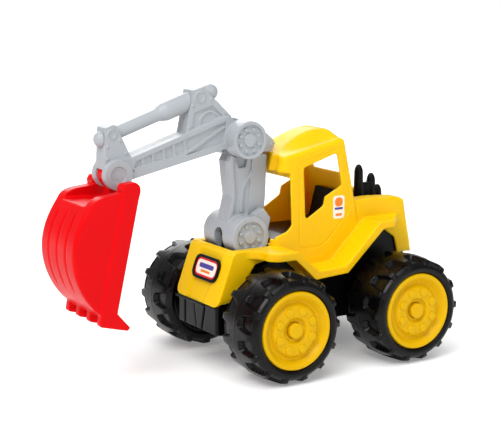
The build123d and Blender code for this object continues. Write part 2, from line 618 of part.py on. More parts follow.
for side_name, side in SIDES:
    with BuildPart() as stick_half:
        half_prism(STICK_SIDE, side, 0, ARM_HALF)
        half_prism(STICK_WEB, side, ARM_HALF - 2, ARM_HALF + 1, mode=Mode.SUBTRACT)
        half_bars(STICK_RIBS, 3.0, side, ARM_HALF - 3, ARM_HALF - 0.5)
        half_hose(LOW_HOSE, 3.0, side, ARM_HALF - 3, ARM_HALF - 0.2)
        # brackets that hold the ram
        half_prism(REAR_BRACKET, side, 0, BRACKET_HALF)
        half_prism(
            [(53.2, 178.8), (51, 193.6), (31.7, 199.5), (20.8, 189.4)],
            side, BRACKET_HALF - 1.5, BRACKET_HALF + 1, mode=Mode.SUBTRACT,
        )
        half_hose(TOP_HOSE, 2.6, side, BRACKET_HALF - 2.5, BRACKET_HALF - 0.3)
        half_prism(FRONT_BRACKET, side, 0, BRACKET_HALF)
        half_rivets(REAR_RIVETS + FRONT_RIVETS, 1.4, side, BRACKET_HALF - 1, BRACKET_HALF + 0.8)
        for eye, eye_radius, bore_radius in BRACKET_EYES:
            half_disc(eye, eye_radius, side, BRACKET_HALF - 1, BRACKET_HALF + 0.8)
            half_disc(eye, bore_radius, side, BRACKET_HALF, BRACKET_HALF + 1, mode=Mode.SUBTRACT)
        # tail behind the upper knuckle
        half_prism(
            [(-13, 176), (-28.4, 169.7), (-35.3, 163.9), (-38.2, 159.4), (-35.4, 154.2), (-29.7, 151.4),
             (-15.5, 153.4)],
            side, 0, 9.5,
        )
        half_rivets([(-34.1, 158.4)], 1.8, side, 9, 10.5)
        # upper knuckle, open in the middle for the boom's eye
        half_disc(STICK_PIVOT, STICK_DRUM_RADIUS, side, STICK_SLOT, STICK_DRUM_HALF)
        half_disc(STICK_PIVOT, EYE_RADIUS + 0.8, side, -1, STICK_SLOT, mode=Mode.SUBTRACT)
        half_prism(
            [(-14, 152), (-14, 166), (16, 166), (19, 150)], side, -1, STICK_SLOT, mode=Mode.SUBTRACT,
        )
        half_disc(STICK_PIVOT, PIN_RADIUS, side, STICK_SLOT - 1, PIN_HALF, mode=Mode.SUBTRACT)
        bolt_face(STICK_PIVOT, 14.7, 10.5, side, STICK_DRUM_HALF)
        # lower knuckle, open in the middle for the bucket's lug
        half_disc(BUCKET_PIVOT, NOSE_RADIUS, side, NOSE_SLOT, NOSE_HALF)
        half_disc(BUCKET_PIVOT, LUG_RADIUS + 0.8, side, -1, NOSE_SLOT, mode=Mode.SUBTRACT)
        half_prism(
            [(109, 125), (112, 141), (125, 146.5), (150, 146.5), (150, 125)],
            side, -1, NOSE_SLOT, mode=Mode.SUBTRACT,
        )
        half_disc(BUCKET_PIVOT, 7.6, side, NOSE_HALF - 1.2, NOSE_HALF + 1, mode=Mode.SUBTRACT)
        half_disc(BUCKET_PIVOT, BUCKET_PIN_RADIUS, side, -1, NOSE_HALF - 1.2, mode=Mode.SUBTRACT)
        # seats for the ram
        with BuildSketch(ram_plane) as ram_seat:
            Circle(ROD_RADIUS)
        extrude(ram_seat.sketch, amount=ram_length, mode=Mode.SUBTRACT)
    save(stick_half, f"stick_{side_name}")

with BuildPart() as ram:
    with BuildSketch(ram_plane.offset(BARREL_START)) as barrel:
        Circle(BARREL_RADIUS)
    extrude(barrel.sketch, amount=BARREL_END - BARREL_START)
    with BuildSketch(ram_plane.offset(BARREL_END)) as collar_root:
        Circle(BARREL_RADIUS)
    with BuildSketch(ram_plane.offset(COLLAR_END)) as collar_end:
        Circle(ROD_RADIUS + 0.8)
    loft([collar_root.sketch.face(), collar_end.sketch.face()])
    for knob_plane, knob_turn in ((ram_plane, 1), (ram_plane.offset(ram_length), -1)):
        with BuildSketch(knob_plane) as knob:
            Circle(KNOB_RADIUS)
        extrude(knob.sketch, amount=knob_turn * KNOB_LENGTH)
        with Locations(knob_plane.origin):
            Sphere(KNOB_RADIUS)
    prism(REAR_BRACKET, -BRACKET_HALF, BRACKET_HALF, mode=Mode.SUBTRACT)
    prism(FRONT_BRACKET, -BRACKET_HALF, BRACKET_HALF, mode=Mode.SUBTRACT)
    with BuildSketch(ram_plane) as rod:
        Circle(ROD_RADIUS)
    extrude(rod.sketch, amount=ram_length)
save(ram, "ram")

with BuildPart() as stick_screws:
    half_rivets(STICK_SCREWS, 2.4, -1, ARM_HALF, ARM_HALF + 1.2)
save(stick_screws, "stick_screws")

with BuildPart() as stick_pin:
    disc(STICK_PIVOT, PIN_RADIUS, -PIN_HALF, PIN_HALF)
save(stick_pin, "stick_pin")

with BuildPart() as bucket_pin:
    disc(BUCKET_PIVOT, BUCKET_PIN_RADIUS, 1.2 - NOSE_HALF, NOSE_HALF - 1.2)
save(bucket_pin, "bucket_pin")

# ---------------------------------------------------------------- bucket
BUCKET_HALF = 36.0
BUCKET_WALL = 3.0
FLANGE_HALF = 37.5         # raised strip along each side of the mouth
NOTCH_HALF = 24.0
NOTCH_FLOOR = 119.0
BUCKET_LUG_HALF = NOSE_SLOT - SIDE_GAP
TOOTH_WIDTH = 7.8
TOOTH_PLACES = (-33.6, -11.2, 11.2, 33.6)
BACK_CURVE = [
    (139, 129.7), (153, 127.8), (164.5, 125), (171.5, 119), (178.8, 108.2), (184.8, 95.4), (188.5, 77.6),
    (186.9, 60), (180.4, 42.5), (172.7, 30.5), (164.5, 22.5),
]
INNER_CURVE = [
    (139, 125.4), (152.6, 124.6), (162.6, 122.3), (169, 117.2), (176.1, 106.8), (181.9, 94.5), (185.4, 77.5),
    (183.9, 61), (177.7, 44), (170.3, 32.5), (162.5, 25),
]
MOUTH_TOP = (122.4, 130.6)
MOUTH_FOOT = (146.8, 20.6)
LIP = (160.6, 17.6)
TOOTH = [
    (162.4, 24.4), (164.7, 12), (162.8, 10.2), (137.1, 3.6), (134.2, 6.2), MOUTH_FOOT, (149, 26),
]
FLANGE = [MOUTH_TOP, (138.8, 129.5), (162.4, 24.4), (160, 17.6), MOUTH_FOOT]
EAR = [
    (122, 130.5), (122.8, 135), (126.5, 138.3), (138, 137.4), (140.6, 133), (139, 126), (141, 112),
    (127, 112),
]


def scoop(curve, mouth, y_low, y_high, mode=Mode.ADD):
    """The bucket's rounded section in the side view: a curved back closed across the mouth."""
    with BuildSketch(upright(y_high)) as section:
        with BuildLine():
            Spline(*outline(curve))
            Polyline(*outline([curve[-1], *mouth, curve[0]]))
        make_face()
    extrude(section.sketch, amount=y_high - y_low, mode=mode)


with BuildPart() as bucket:
    scoop(BACK_CURVE, [LIP, (148, 17), MOUTH_FOOT, MOUTH_TOP], -BUCKET_HALF, BUCKET_HALF)
    scoop(
        INNER_CURVE, [(156, 21), (100, 12), (96, 121)], BUCKET_WALL - BUCKET_HALF, BUCKET_HALF - BUCKET_WALL,
        mode=Mode.SUBTRACT,
    )
    # raised strips along the mouth, and the ears at their tops
    for _, side in SIDES:
        half_prism(FLANGE, side, 31, FLANGE_HALF)
        half_prism(EAR, side, 25, FLANGE_HALF)
    ear_edges = bucket.edges().filter_by_position(Axis.Z, AXLE_HEIGHT + 132, AXLE_HEIGHT + 139)
    fillet(ear_edges.filter_by(Axis.Y), 1.5)
    # notch between the ears, with a floor and walls of its own
    prism(
        [(100, NOTCH_FLOOR), (100, 145), (180, 145), (180, NOTCH_FLOOR)], -NOTCH_HALF, NOTCH_HALF,
        mode=Mode.SUBTRACT,
    )
    prism(
        [(126, NOTCH_FLOOR), (171.3, NOTCH_FLOOR), (173.4, NOTCH_FLOOR - BUCKET_WALL),
         (126.7, NOTCH_FLOOR - BUCKET_WALL)],
        -NOTCH_HALF - BUCKET_WALL, NOTCH_HALF + BUCKET_WALL,
    )
    for _, side in SIDES:
        half_prism(
            [(126, 116), (126, 127), (150, 126.5), (162, 124), (169, 119), (171, 116)],
            side, NOTCH_HALF, NOTCH_HALF + BUCKET_WALL,
        )
    # lug that hangs on the stick
    prism([(125, 117), (125.5, 140), (138.5, 140), (139, 117)], -BUCKET_LUG_HALF, BUCKET_LUG_HALF)
    disc(BUCKET_PIVOT, LUG_RADIUS, -BUCKET_LUG_HALF, BUCKET_LUG_HALF)
    disc(BUCKET_PIVOT, BUCKET_PIN_RADIUS + RUNNING, -10, 10, mode=Mode.SUBTRACT)
    for tooth_y in TOOTH_PLACES:
        prism(TOOTH, tooth_y - TOOTH_WIDTH / 2, tooth_y + TOOTH_WIDTH / 2)
save(bucket, "bucket")
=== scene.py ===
"""Toy excavator truck: detailed meshes, moulded-plastic materials, studio light and camera,
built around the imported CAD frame.  Metres, +X forward, +Y to the left, +Z up."""
from math import cos, exp, hypot, pi, radians, sin

import bmesh
import bpy
import numpy as np
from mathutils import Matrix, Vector


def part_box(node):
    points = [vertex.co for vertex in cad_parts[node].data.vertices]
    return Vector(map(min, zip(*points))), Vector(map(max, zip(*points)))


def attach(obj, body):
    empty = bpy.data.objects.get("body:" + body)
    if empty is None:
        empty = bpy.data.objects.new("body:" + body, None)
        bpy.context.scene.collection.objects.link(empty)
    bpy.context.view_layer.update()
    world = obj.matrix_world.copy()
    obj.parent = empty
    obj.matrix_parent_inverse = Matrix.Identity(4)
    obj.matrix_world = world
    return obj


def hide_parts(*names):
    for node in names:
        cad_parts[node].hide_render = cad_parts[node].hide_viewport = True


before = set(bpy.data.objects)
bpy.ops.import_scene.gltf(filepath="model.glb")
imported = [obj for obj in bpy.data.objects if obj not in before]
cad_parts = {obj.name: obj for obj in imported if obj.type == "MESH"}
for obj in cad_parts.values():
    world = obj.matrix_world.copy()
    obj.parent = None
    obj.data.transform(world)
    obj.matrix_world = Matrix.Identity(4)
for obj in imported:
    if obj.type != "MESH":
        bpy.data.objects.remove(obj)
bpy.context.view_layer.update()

MM = 0.001
WHEELS = ("front_left", "front_right", "rear_left", "rear_right")


def centre(node):
    """The middle of a CAD node's box."""
    low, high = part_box(node)
    return (Vector(low) + Vector(high)) / 2


# ---------------------------------------------------------------- materials
PLASTIC_IOR = 1.49
GLOW_RADIUS = (1.0, 0.35, 0.02)      # light travels far in red and hardly at all in blue
GLOW_SCALE = 6 * MM
CLOUD_SCALE, GLOSS_SCALE, GRAIN_SCALE, WAVE_SCALE = 28, 60, 2600, 36   # noise cells in one metre
GRAIN_HEIGHT, WAVE_HEIGHT = 0.2 * MM, 1.2 * MM


def plastic(name, colour, roughness, specular=0.3, grain=0.05, waviness=0.10, variation=0.04, glow=0.0):
    """Moulded plastic: cloudy colour, uneven gloss, a fine grain, slow sink waves and a painted highlight
    that makes sharp edges paler.
    """
    material = bpy.data.materials.new(name)
    material.use_nodes = True
    nodes, links = material.node_tree.nodes, material.node_tree.links
    shader = nodes["Principled BSDF"]
    shader.inputs["IOR"].default_value = PLASTIC_IOR
    shader.inputs["Specular IOR Level"].default_value = specular
    shader.inputs["Subsurface Weight"].default_value = glow
    shader.inputs["Subsurface Radius"].default_value = GLOW_RADIUS
    shader.inputs["Subsurface Scale"].default_value = GLOW_SCALE
    place = nodes.new("ShaderNodeTexCoord")

    def noise(scale, detail):
        node = nodes.new("ShaderNodeTexNoise")
        node.inputs["Scale"].default_value = scale
        node.inputs["Detail"].default_value = detail
        links.new(place.outputs["Object"], node.inputs["Vector"])
        return node.outputs["Fac"]

    def spread(source, low, high, start=0.3, stop=0.7):
        node = nodes.new("ShaderNodeMapRange")
        node.inputs["From Min"].default_value = start
        node.inputs["From Max"].default_value = stop
        node.inputs["To Min"].default_value = low
        node.inputs["To Max"].default_value = high
        links.new(source, node.inputs["Value"])
        return node.outputs["Result"]

    def blended(factor, first, second):
        node = nodes.new("ShaderNodeMix")
        node.data_type = "RGBA"
        links.new(factor, node.inputs["Factor"])
        for socket, value in ((node.inputs[6], first), (node.inputs[7], second)):
            if isinstance(value, tuple):
                socket.default_value = (*value, 1)
            else:
                links.new(value, socket)
        return node.outputs[2]

    def bump(height, strength, distance, below=None):
        node = nodes.new("ShaderNodeBump")
        node.inputs["Strength"].default_value = strength
        node.inputs["Distance"].default_value = distance
        links.new(height, node.inputs["Height"])
        if below:
            links.new(below, node.inputs["Normal"])
        return node.outputs["Normal"]

    dark = tuple(c * (1 - variation) for c in colour)
    pale = tuple(min(1, c * (1 + variation)) for c in colour)
    # painted highlight: a paler copy of the colour, laid on sharp convex edges
    edge_highlight_tint = tuple(min(1, c * 1.06 + 0.003) for c in colour)
    tint = blended(spread(noise(CLOUD_SCALE, 3), 0, 1), dark, pale)
    # mask of the painted highlight: 1 on sharp convex edges, picked out by pointiness
    edges = spread(nodes.new("ShaderNodeNewGeometry").outputs["Pointiness"], 0, 0.4, 0.52, 0.62)
    links.new(blended(edges, tint, edge_highlight_tint), shader.inputs["Base Color"])
    links.new(spread(noise(GLOSS_SCALE, 4), roughness * 0.86, roughness * 1.14), shader.inputs["Roughness"])
    fine = bump(noise(GRAIN_SCALE, 2), grain, GRAIN_HEIGHT)
    links.new(bump(noise(WAVE_SCALE, 1), waviness, WAVE_HEIGHT, fine), shader.inputs["Normal"])
    return material


def metal(name, colour, roughness):
    """Plated steel with a fine grain."""
    material = plastic(name, colour, roughness, specular=0.5, grain=0.12, waviness=0.03)
    material.node_tree.nodes["Principled BSDF"].inputs["Metallic"].default_value = 1.0
    return material


YELLOW = plastic("moulded_yellow", (0.88, 0.525, 0.001), 0.36, 0.16, waviness=0.05, glow=0.45)
WHEEL_YELLOW = plastic("wheel_yellow", (0.68, 0.40, 0.0008), 0.36, 0.10, waviness=0.02, variation=0.02)
BLACK = plastic("moulded_black", (0.0018, 0.0018, 0.002), 0.34, 0.14, variation=0.2)
TYRE = plastic("tyre_black", (0.0016, 0.0015, 0.0016), 0.29, 0.20, waviness=0.04, variation=0.25)
GREY = plastic("moulded_grey", (0.375, 0.40, 0.425), 0.36, 0.4, waviness=0.04, variation=0.03)
RED = plastic("moulded_red", (0.68, 0.0008, 0.003), 0.36, 0.09)
STEEL = metal("zinc_plate", (0.55, 0.55, 0.56), 0.32)
LABEL_WHITE = plastic("label_white", (0.86, 0.80, 0.70), 0.3, grain=0.02, waviness=0.03, variation=0.02)
LABEL_RED = plastic("label_red", (0.80, 0.008, 0.015), 0.3, grain=0.02, waviness=0.03)
LABEL_ORANGE = plastic("label_orange", (0.82, 0.20, 0.006), 0.3, grain=0.02, waviness=0.03)
LABEL_BLUE = plastic("label_blue", (0.07, 0.05, 0.30), 0.3, grain=0.02, waviness=0.03)


# ---------------------------------------------------------------- mesh helpers
def add_piece(name, mesh, material, body, replaced=()):
    """A new piece that rides on body and stands for the replaced CAD nodes."""
    piece = bpy.data.objects.new(name, mesh)
    bpy.context.scene.collection.objects.link(piece)
    mesh.materials.clear()
    mesh.materials.append(material)
    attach(piece, body)
    if replaced:
        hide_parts(*replaced)
    return piece


def with_modifiers(mesh, *steps):
    """The mesh after the given modifiers, each (type, settings)."""
    piece = bpy.data.objects.new("form", mesh)
    bpy.context.scene.collection.objects.link(piece)
    for kind, settings in steps:
        modifier = piece.modifiers.new(kind.lower(), kind)
        for key, value in settings.items():
            setattr(modifier, key, value)
    graph = bpy.context.evaluated_depsgraph_get()
    result = bpy.data.meshes.new_from_object(piece.evaluated_get(graph))
    bpy.data.objects.remove(piece)
    return result


def reshaped(mesh, shape):
    """Moves the mesh's points: shape gets their places and normals in mm and returns the new places."""
    count = len(mesh.vertices)
    places, normals = np.empty(count * 3), np.empty(count * 3)
    mesh.vertices.foreach_get("co", places)
    mesh.vertices.foreach_get("normal", normals)
    moved = shape(places.reshape(-1, 3) / MM, normals.reshape(-1, 3)) * MM
    mesh.vertices.foreach_set("co", moved.ravel())
    mesh.update()


def relaxed(mesh, weight, rounds):
    """Rounds off the parts of the mesh where weight, given each point in mm, is above 0."""
    count = len(mesh.vertices)
    places = np.empty(count * 3)
    mesh.vertices.foreach_get("co", places)
    places = places.reshape(-1, 3)
    edges = np.empty(len(mesh.edges) * 2, np.int64)
    mesh.edges.foreach_get("vertices", edges)
    first, second = edges.reshape(-1, 2).T
    degree = np.bincount(edges, minlength=count)[:, None]
    share = 0.5 * weight(places / MM)[:, None]
    for _ in range(rounds):
        total = np.stack([
            np.bincount(first, places[second, axis], count)
            + np.bincount(second, places[first, axis], count)
            for axis in range(3)
        ], axis=1)
        places = places + share * (total / degree - places)
    mesh.vertices.foreach_set("co", places.ravel())
    mesh.update()


def moulded(name, nodes, body, material, slot, voxel, smoothing, keep, *steps):
    """A soft-edged moulding: the CAD nodes' shape remade as an even mesh, smoothed, worked on by
    the steps, each a function with its own values, then thinned."""
    form = bmesh.new()
    for node in nodes:
        form.from_mesh(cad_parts[node].data)
    mesh = bpy.data.meshes.new(name)
    form.to_mesh(mesh)
    form.free()
    mesh = with_modifiers(
        mesh, ("REMESH", {"mode": "VOXEL", "voxel_size": voxel * MM}),
        ("SMOOTH", {"factor": 0.5, "iterations": smoothing}),
    )
    for step, *values in steps:
        step(mesh, *values)
    mesh = with_modifiers(mesh, ("DECIMATE", {"ratio": keep}))
    mesh.shade_smooth()
    mesh.name = name
    return add_piece(name, mesh, material, body, nodes)


def rounded(corners, steps=5):
    """A closed outline of (a, b, radius) corners, with each corner turned into an arc."""
    points = []
    count = len(corners)
    for i, (a, b, radius) in enumerate(corners):
        here = Vector((a, b))
        before = Vector(corners[i - 1][:2]) - here
        after = Vector(corners[(i + 1) % count][:2]) - here
        reach = min(radius, before.length * 0.48, after.length * 0.48)
        if reach <= 0:
            points.append(here)
            continue
        start = here + before.normalized() * reach
        end = here + after.normalized() * reach
        for k in range(steps + 1):
            t = k / steps
            points.append(start * (1 - t) ** 2 + here * 2 * t * (1 - t) + end * t * t)
    return points


def lathe(form, outline, origin, axis_side, segments):
    """Adds a turned ring to a bmesh: outline is (radius, outwards) in mm, turned about the Y axis."""
    rings = []
    for k in range(segments):
        turn = 2 * pi * k / segments
        ring = [
            form.verts.new(origin + Vector((r * cos(turn), axis_side * out, r * sin(turn))) * MM)
            for r, out in outline
        ]
        rings.append(ring)
    count = len(outline)
    for k in range(segments):
        for i in range(count):
            corners = (rings[k][i], rings[k][(i + 1) % count],
                       rings[(k + 1) % segments][(i + 1) % count], rings[(k + 1) % segments][i])
            form.faces.new(corners if axis_side < 0 else corners[::-1])


SHARP_EDGE = radians(38)


def finish_form(form, name):
    """A bmesh made into a smooth-shaded mesh that keeps its sharp rims."""
    bmesh.ops.remove_doubles(form, verts=form.verts, dist=1e-7)
    bmesh.ops.recalc_face_normals(form, faces=form.faces)
    mesh = bpy.data.meshes.new(name)
    form.to_mesh(mesh)
    form.free()
    mesh.shade_smooth()
    mesh.set_sharp_from_angle(angle=SHARP_EDGE)
    return mesh


# ---------------------------------------------------------------- wheels
LUGS = 14
LUG_STEPS = 26             # mesh columns in one lug pitch
POCKET_DEPTH = 4.2
POCKET_REACH = 21.0        # from the tyre's face to the pocket's inner end
POCKET_CORNER = 3.0
POCKET_HALF, POCKET_FLARE = 5.4, 2.6   # half width at the inner end, and what it gains at the shoulder
MOULD_LINE, MOULD_LINE_WIDTH = 0.18, 0.35   # line around the middle of the tread
# the wall that closes the tyre's inner side, as (radius, from the inner face)
INNER_WALL = ((35.0, 2.8), (31.0, 4.6), (14.0, 4.0), (11.4, 3.2), (11.0, 3.6), (11.0, 5.6), (36.6, 6.6))
# the outer half of the tyre's section, as (radius, outwards from the tyre's face)
HALF_PROFILE = [(37.3, -2.6), (38.4, -0.9), (40.2, -0.15), (42.2, 0), (43.6, -0.5), (46.2, -1.2),
                (49.0, -2.6), (50.6, -5.4), (51.2, -9.0), (51.5, -15.0), (51.7, -21.0), (51.8, -27.5)]


def smoothstep(low, high, value):
    """0 at low, 1 at high, and a smooth rise between them."""
    t = np.clip((value - low) / (high - low), 0, 1)
    return t * t * (3 - 2 * t)


def on_line(height, top, foot):
    """Where the line from top to foot, each (place, height), stands at a height."""
    return foot[0] + (height - foot[1]) * (top[0] - foot[0]) / (top[1] - foot[1])


def catmull(points, steps):
    """Points along a smooth curve through the given ones."""
    out = []
    for i in range(len(points) - 1):
        p0 = Vector(points[max(i - 1, 0)])
        p1, p2 = Vector(points[i]), Vector(points[i + 1])
        p3 = Vector(points[min(i + 2, len(points) - 1)])
        for k in range(steps):
            t = k / steps
            out.append(0.5 * (2 * p1 + (p2 - p0) * t + (2 * p0 - 5 * p1 + 4 * p2 - p3) * t * t
                              + (3 * p1 - p0 - 3 * p2 + p3) * t ** 3))
    out.append(Vector(points[-1]))
    return out


def pocket(arc, along, inner_end):
    """1 inside a pocket between two lugs, 0 on the lugs, with rounded corners; all in mm."""
    half_width = POCKET_HALF + POCKET_FLARE * smoothstep(inner_end, 6.0, along)
    beside = abs(arc) - (half_width - POCKET_CORNER)
    beyond = (along - inner_end) + POCKET_CORNER
    distance = hypot(max(beside, 0), max(beyond, 0)) + min(max(beside, beyond), 0) - POCKET_CORNER
    return 1 - smoothstep(-0.9, 0.5, distance)


def tyre_mesh(name, origin, side, face, width):
    """A tyre turned around its section, with the pockets between its lugs pressed in."""
    half = catmull(HALF_PROFILE, 5)
    mirrored = [Vector((p.x, -width - p.y)) for p in reversed(half[:-1])]
    # the tyre's inner side is closed by a wall around the axle tube
    wall = [Vector((radius, inset - width)) for radius, inset in INNER_WALL]
    profile = half + mirrored + wall
    count = len(profile)
    columns = LUGS * LUG_STEPS
    form = bmesh.new()
    rings = []
    for k in range(columns):
        turn = 2 * pi * k / columns
        ring = []
        for i, point in enumerate(profile):
            before, after = profile[max(i - 1, 0)], profile[min(i + 1, count - 1)]
            tangent = (after - before).normalized()
            inward = Vector((tangent.y, -tangent.x))
            outer_side = i < len(half)
            along = -point.y if outer_side else width + point.y
            phase = (k / LUG_STEPS + (0.0 if outer_side else 0.5)) % 1.0
            arc = (phase - 0.5) * 2 * pi * point.x / LUGS
            depth = POCKET_DEPTH * pocket(arc, along, POCKET_REACH) * smoothstep(43.2, 48.5, point.x)
            # shallower at the shoulder
            depth *= 0.45 + 0.55 * smoothstep(0.5, 6.0, along)
            here = point + inward * depth
            radius = here.x + MOULD_LINE * exp(-((point.y + width / 2) / MOULD_LINE_WIDTH) ** 2)
            outwards = face + min(here.y, 0)
            ring.append(form.verts.new(origin + Vector((
                radius * cos(turn) * MM, side * outwards * MM, radius * sin(turn) * MM
            ))))
        rings.append(ring)
    for k in range(columns):
        here, there = rings[k], rings[(k + 1) % columns]
        for i in range(count):
            j = (i + 1) % count
            form.faces.new((here[i], here[j], there[j], there[i]))
    return finish_form(form, name)


# turned outlines as (radius, outwards from the tyre's face, corner rounding)
DISC = [(3.2, -8.0, 0), (7.9, -8.0, 0.3), (7.9, -6.1, 0.3), (10.4, -5.9, 1.6), (12.6, -2.9, 1.8),
        (14.5, -2.4, 1.2), (23.0, -2.4, 2.6), (25.6, -6.2, 2.2), (28.2, -6.6, 2.4),
        (32.6, -0.9, 2.0), (34.2, 0.0, 1.0), (36.0, 0.0, 1.0), (37.0, -1.5, 0.8),
        (37.0, -46.0, 0.5), (34.0, -46.0, 0.5), (34.0, -11.0, 2.0), (8.2, -11.0, 2.0),
        (7.5, -52.0, 0.3), (3.2, -52.0, 0.3)]
STUD = [(0, -3.4, 0), (4.2, -3.4, 0), (3.9, -0.8, 0.7), (0, -0.8, 0)]
STUD_CIRCLE, STUD_COUNT = 19.0, 8
CAP = [(0, -7.9, 0), (7.4, -7.9, 0.2), (7.2, -1.1, 1.4), (0, -1.1, 0)]


def build_wheel(place):
    """The tyre, the studded disc and the hub cap of one wheel."""
    hub = centre(f"wheel_{place}")
    side = 1 if hub.y > 0 else -1
    origin = Vector((hub.x, 0, hub.z))
    low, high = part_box(f"tyre_{place}")
    face = max(abs(low[1]), abs(high[1])) / MM
    width = (high[1] - low[1]) / MM
    body = f"wheel_{place}"
    tyre = tyre_mesh(f"tyre_{place}_skin", origin, side, face, width)
    add_piece(f"tyre_{place}_skin", tyre, TYRE, body, [f"tyre_{place}"])
    on_face = origin + Vector((0, side * face * MM, 0))
    form = bmesh.new()
    lathe(form, rounded(DISC), on_face, side, 144)
    for k in range(STUD_COUNT):
        turn = radians(360 / STUD_COUNT * (k + 0.5))
        stud_place = on_face + Vector((cos(turn), 0, sin(turn))) * STUD_CIRCLE * MM
        lathe(form, rounded(STUD), stud_place, side, 32)
    disc = f"wheel_{place}_disc"
    add_piece(disc, finish_form(form, disc), WHEEL_YELLOW, body, [f"wheel_{place}"])
    form = bmesh.new()
    lathe(form, rounded(CAP, 8), on_face, side, 64)
    cap = f"hub_cap_{place}_dome"
    add_piece(cap, finish_form(form, cap), WHEEL_YELLOW, body, [f"hub_cap_{place}"])


for wheel in WHEELS:
    build_wheel(wheel)


# ---------------------------------------------------------------- body, cab and black parts
axle = centre("front_axle") / MM


def from_axle(places):
    """Lengthwise place, distance left, and height, measured from the front axle in mm."""
    return places[:, 0] - axle.x, places[:, 1], places[:, 2] - axle.z


PLEAT_DEPTH, PLEAT_EDGE = 1.5, 2.2
# each side of the panel, as its top and its foot, (distance left, height)
PLEAT_RIGHT = ((-15.5, 63), (-19.0, 15))
PLEAT_LEFT = ((23.0, 60), (12.0, 15))


def pleat_nose(places, normals):
    """The nose's front carries a shallow middle panel that narrows downwards."""
    x, y, z = from_axle(places)
    front = smoothstep(0.3, 0.75, normals[:, 0]) * smoothstep(22, 26, x)
    past_right = smoothstep(-PLEAT_EDGE, PLEAT_EDGE, y - on_line(z, *PLEAT_RIGHT))
    past_left = smoothstep(-PLEAT_EDGE, PLEAT_EDGE, y - on_line(z, *PLEAT_LEFT))
    panel = past_right * (1 - past_left)
    return places - normals * (PLEAT_DEPTH * front * panel)[:, None]


ROOF_FRONT, ROOF_HEIGHT, ROOF_SLOPE = -29.5, 149.6, -0.2146
# height of the roof's dome above its flat, as (lengthwise place, height); its half width, what that
# gains at the back, and how far inside and outside it the dome's side falls
DOME = ((-98, 1.0), (-97, 4.2), (-95, 6.6), (-92, 8.2), (-88, 9.4), (-82, 10.3), (-76, 10.7), (-70, 10.4),
        (-64, 9.6), (-58, 8.2), (-52, 6.2), (-46, 3.9), (-40, 1.8), (-35, 0.5), (-32, 0.0))
DOME_HALF, DOME_GAIN, DOME_INNER, DOME_OUTER = 24, 4, 13, 9
# the seam around each door, as (lengthwise place, height, corner radius)
SEAM = ((-46.6, 143.7, 4), (-95.7, 155.5, 5), (-108.5, 94.7, 8), (-74.7, 60.1, 8), (-47.6, 60.1, 4))
SEAM_DEPTH, SEAM_WIDTH = 0.55, 0.42


def roof_plane(x):
    """Height of the roof's flat at a lengthwise place."""
    return ROOF_HEIGHT + ROOF_SLOPE * (x - ROOF_FRONT)


def shape_cab(places, normals):
    """A softly domed roof panel, and the thin engraved seam around each door."""
    x, y, z = from_axle(places)
    moved = places.copy()
    plane = roof_plane(x)
    half = DOME_HALF + DOME_GAIN * smoothstep(-80, -95, x)
    across = 1 - smoothstep(half - DOME_INNER, half + DOME_OUTER, np.abs(y))
    dome = np.interp(x, *zip(*DOME)) * across
    outside = (z > plane - 1.2) & (x < DOME[-1][0])
    moved[outside, 2] = (axle.z + np.minimum(z, plane) + dome)[outside]
    near_side = (np.abs(y) > 39) & (np.abs(normals[:, 1]) > 0.6)
    distance = np.full(len(x), 99.0)
    loop = rounded(SEAM)
    for here, there in zip(loop, loop[1:] + loop[:1]):
        step = there - here
        if step.length > 0:
            along = np.clip(((x - here.x) * step.x + (z - here.y) * step.y) / step.length_squared, 0, 1)
            gap = np.hypot(x - here.x - along * step.x, z - here.y - along * step.y)
            distance = np.minimum(distance, gap)
    depth = SEAM_DEPTH * np.exp(-((distance / SEAM_WIDTH) ** 2)) * near_side
    moved[:, 1] -= np.sign(y) * depth
    return moved


def shape_body(places, normals):
    """The nose's pleats and the cab's roof and seams."""
    return shape_cab(pleat_nose(places, normals), normals)


def roof_panel(places):
    """1 on the roof's panel, 0 elsewhere."""
    x, _, z = from_axle(places)
    return smoothstep(-1.0, 0.2, z - roof_plane(x)) * smoothstep(-34, -38, x)


HOOD_CORNER = (-164.7, 88.1)
HOOD_RADIUS = 12.0
HOOD_TURN = (93.5, 168.0)   # from the hood's top round to its rear panel, in degrees
HOOD_FULLER, HOOD_HIGHER, HOOD_LOWER = 2.6, 1.6, 1.4   # growth of the rear panel, the top and the foot


def round_hood(places, normals):
    """The rear hood: a crowned top, a full rear panel, and a large round corner between them."""
    x, y, z = from_axle(places)
    inboard = 1 - smoothstep(40.5, 47, np.abs(y))
    x = x - HOOD_FULLER * inboard * smoothstep(-148, -166, x) * smoothstep(38, 42, z)
    z = z + HOOD_HIGHER * inboard * smoothstep(-116, -140, x) * smoothstep(86, 94, z)
    z = z - HOOD_LOWER * inboard * smoothstep(-158, -163, x) * smoothstep(54, 44, z)
    back, up = x - HOOD_CORNER[0], z - HOOD_CORNER[1]
    reach, turn = np.hypot(back, up), np.degrees(np.arctan2(up, back))
    beyond = (turn > HOOD_TURN[0]) & (turn < HOOD_TURN[1]) & (reach > HOOD_RADIUS)
    scale = np.where(beyond, HOOD_RADIUS / reach, 1.0)
    return np.stack([
        HOOD_CORNER[0] + back * scale + axle.x, y, HOOD_CORNER[1] + up * scale + axle.z,
    ], axis=1)


def visor(places):
    """1 on the front of the visor, 0 elsewhere."""
    x, _, z = from_axle(places)
    return smoothstep(-46, -41, x) * smoothstep(124, 128, z)


COARSE = 1.0    # voxels of the mouldings, beside their final size
moulded("body_moulding", ["body_shell", "cab"], "root", YELLOW, "yellow_plastic", 0.55 * COARSE, 7, 0.25,
        (reshaped, shape_body), (relaxed, roof_panel, 30), (relaxed, visor, 24), (reshaped, round_hood))
moulded("chassis_tray", ["chassis"], "root", BLACK, "black_plastic", 0.8 * COARSE, 3, 0.3)
moulded("seat_moulding", ["seat"], "root", BLACK, "black_plastic", 0.8 * COARSE, 6, 0.3)
moulded("engine_moulding", ["engine_block"], "root", BLACK, "black_plastic", 0.6 * COARSE, 6, 0.3)

